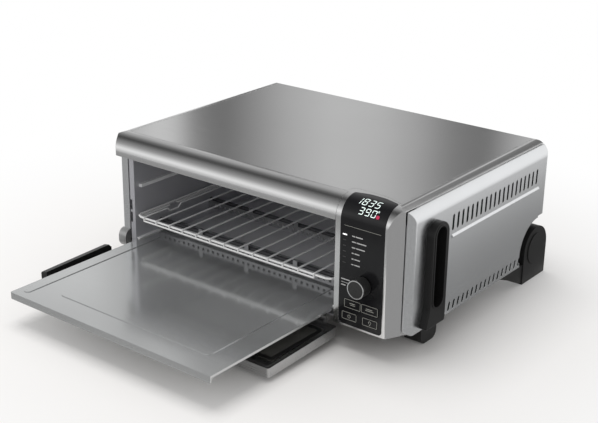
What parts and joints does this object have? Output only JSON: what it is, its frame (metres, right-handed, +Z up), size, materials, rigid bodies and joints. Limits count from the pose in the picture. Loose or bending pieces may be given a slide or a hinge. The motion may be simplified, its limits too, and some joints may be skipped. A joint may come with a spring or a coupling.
{
  "type": "mini oven",
  "caption": "Low countertop oven with a drop-down glass door, pull-out crumb tray, wire rack, side handles and a stand that it tips up on.",
  "frame": {"origin": "middle of the footprint with the tray pulled out, on the surface that the feet stand on", "axes": "+X to the right seen from the front, +Y from the door to the back, +Z up"},
  "size_m": [0.5, 0.5886, 0.1923],
  "materials": {
    "casing_steel": "satin brushed",
    "side_panel_grey": "satin",
    "back_metal": "satin",
    "base_steel": "dull",
    "liner_steel": "satin",
    "ledge_steel": "satin",
    "rod_dark": "dark oxide",
    "ceramic_white": "matt",
    "sensor_steel": "satin",
    "display_dark": "gloss",
    "board_green": "satin",
    "switch_metal": "satin",
    "motor_metal": "satin",
    "fan_steel": "satin",
    "inlet_black": "matt",
    "hinge_steel": "satin",
    "hinge_cover_grey": "satin",
    "handle_black": "satin",
    "foot_black": "satin",
    "pad_rubber": "matt",
    "shaft_steel": "turned",
    "bush_plastic": "matt",
    "screw_steel": "bright",
    "panel_glass": "high gloss",
    "door_frame_metal": "satin",
    "door_glass": "gloss",
    "grip_black": "satin",
    "tray_steel": "satin",
    "rack_chrome": "bright",
    "knob_black": "satin",
    "knob_steel": "bright",
    "stem_steel": "turned",
    "key_black": "gloss"
  },
  "bodies": {
    "rear_stand": {"rear_foot_left": "foot_black", "rear_foot_right": "foot_black", "flip_shaft": "shaft_steel", "rear_foot_pads": "pad_rubber"},
    "oven": {"top_cover": "casing_steel", "front_header": "casing_steel", "upper_trims": "casing_steel", "control_bezel": "casing_steel", "side_panel_left": "side_panel_grey", "side_panel_right": "side_panel_grey", "back_panel": "back_metal", "base_pan": "base_steel", "pivot_carriers": "base_steel", "liner_floor": "liner_steel", "liner_top": "liner_steel", "liner_left": "liner_steel", "liner_right": "liner_steel", "liner_back": "liner_steel", "front_frame": "liner_steel", "fan_guard": "liner_steel", "fan_housing": "liner_steel", "side_ledges": "ledge_steel", "rod_guards": "ledge_steel", "lower_heating_rods": "rod_dark", "upper_heating_rods": "rod_dark", "rod_insulators": "ceramic_white", "thermostat_probe": "sensor_steel", "display_module": "display_dark", "control_board": "board_green", "power_board": "board_green", "knob_encoder": "switch_metal", "fan_motor": "motor_metal", "inlet_gland": "inlet_black", "hinge_brackets": "hinge_steel", "hinge_pins": "hinge_steel", "hinge_cover_left": "hinge_cover_grey", "side_handle_left": "handle_black", "side_handle_right": "handle_black", "front_feet": "foot_black", "rear_bumpers": "foot_black", "pivot_bushes": "bush_plastic", "casing_screws": "screw_steel", "control_glass": "panel_glass"},
    "door": {"door_frame": "door_frame_metal", "door_glass": "door_glass", "door_grip": "grip_black", "door_hinge_arms": "hinge_steel"},
    "tray": {"crumb_tray": "tray_steel"},
    "rack": {"wire_rack": "rack_chrome"},
    "knob_stem": {"knob_plunger": "stem_steel"},
    "knob": {"knob_cap": "knob_black", "knob_ring": "knob_steel"},
    "time_key": {"key_time": "key_black"},
    "temperature_key": {"key_temperature": "key_black"},
    "power_key": {"key_power": "key_black"},
    "light_key": {"key_light": "key_black"},
    "fan": {"fan_blade": "fan_steel"}
  },
  "joints": [
    {"name": "oven_tip", "type": "hinge", "parent": "rear_stand", "child": "oven", "pos_m": [0, 0.24925, 0.045], "axis": [-1, 0, 0], "range_deg": [0, 90]},
    {"name": "door_hinge", "type": "hinge", "parent": "oven", "child": "door", "pos_m": [0, -0.0675, 0.02475], "axis": [-1, 0, 0], "range_deg": [0, 8.5]},
    {"name": "tray_slide", "type": "slide", "parent": "oven", "child": "tray", "axis": [0, 1, 0], "range_m": [0, 0.2245]},
    {"name": "rack_slide", "type": "slide", "parent": "oven", "child": "rack", "axis": [0, 1, 0], "range_m": [-0.2, 0.006]},
    {"name": "knob_press", "type": "slide", "parent": "oven", "child": "knob_stem", "axis": [0, 1, 0], "range_m": [0, 0.0012], "stiffness_N_per_m": 800, "springref_m": -0.0005},
    {"name": "knob_turn", "type": "hinge", "parent": "knob_stem", "child": "knob", "pos_m": [0.19, -0.08875, 0.092], "axis": [0, -1, 0], "continuous": true},
    {"name": "time_key_press", "type": "slide", "parent": "oven", "child": "time_key", "axis": [0, 1, 0], "range_m": [0, 0.0008], "stiffness_N_per_m": 600, "springref_m": -0.0005},
    {"name": "temperature_key_press", "type": "slide", "parent": "oven", "child": "temperature_key", "axis": [0, 1, 0], "range_m": [0, 0.0008], "stiffness_N_per_m": 600, "springref_m": -0.0005},
    {"name": "power_key_press", "type": "slide", "parent": "oven", "child": "power_key", "axis": [0, 1, 0], "range_m": [0, 0.0008], "stiffness_N_per_m": 600, "springref_m": -0.0005},
    {"name": "light_key_press", "type": "slide", "parent": "oven", "child": "light_key", "axis": [0, 1, 0], "range_m": [0, 0.0008], "stiffness_N_per_m": 600, "springref_m": -0.0005},
    {"name": "fan_spin", "type": "hinge", "parent": "oven", "child": "fan", "pos_m": [0.15, 0.12125, 0.123], "axis": [1, 0, 0], "continuous": true}
  ]
}
